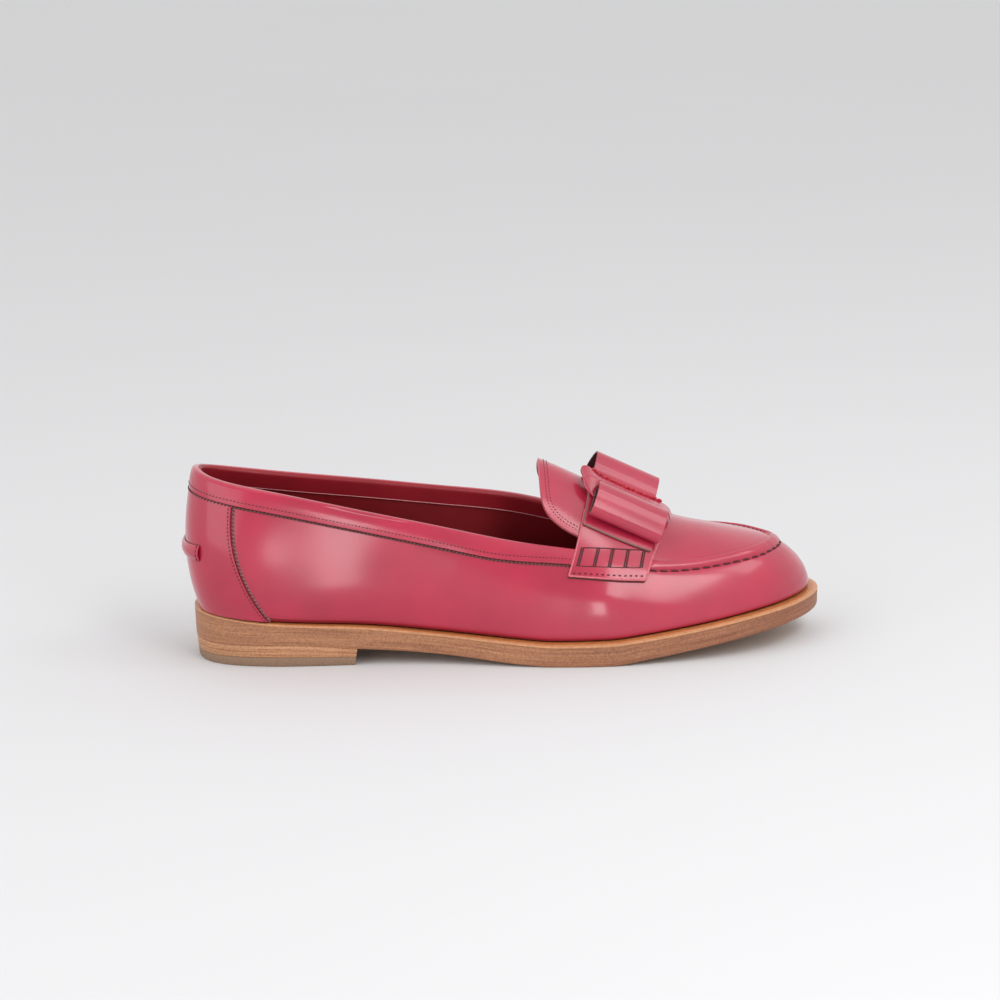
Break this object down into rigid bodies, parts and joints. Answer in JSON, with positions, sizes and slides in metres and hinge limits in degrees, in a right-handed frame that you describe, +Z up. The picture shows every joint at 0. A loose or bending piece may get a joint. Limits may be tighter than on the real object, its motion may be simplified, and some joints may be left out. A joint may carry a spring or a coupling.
{
  "type": "loafer",
  "caption": "Right-foot slip-on leather loafer with a moccasin apron, a saddle strap carrying a flat ribbon bow, a bound collar and a tan leather sole with a low stacked heel.",
  "frame": {"origin": "middle of the footprint, on the floor under the shoe", "axes": "+X from heel to toe, +Y to the inner (medial) side, +Z up"},
  "size_m": [0.261, 0.0886, 0.0784],
  "materials": {
    "upper_leather": "smooth semi-gloss raspberry red calf",
    "lining_leather": "dark red smooth lining leather",
    "sole_leather": "natural tan sole leather with a waxed edge",
    "welt_leather": "orange-brown waxed welt leather",
    "top_piece_rubber": "matt grey-brown rubber"
  },
  "bodies": {
    "root": {"outsole": "sole_leather", "welt": "welt_leather", "heel_lift_upper": "sole_leather", "heel_lift_lower": "sole_leather", "heel_top_piece": "top_piece_rubber", "insole": "lining_leather", "upper": "upper_leather", "tongue": "upper_leather", "collar_binding": "upper_leather", "counter": "upper_leather", "heel_tab": "upper_leather", "saddle_strap": "upper_leather", "bow_base": "upper_leather", "bow_loop_lateral": "upper_leather", "bow_loop_medial": "upper_leather", "bow_knot": "upper_leather"}
  },
  "joints": []
}
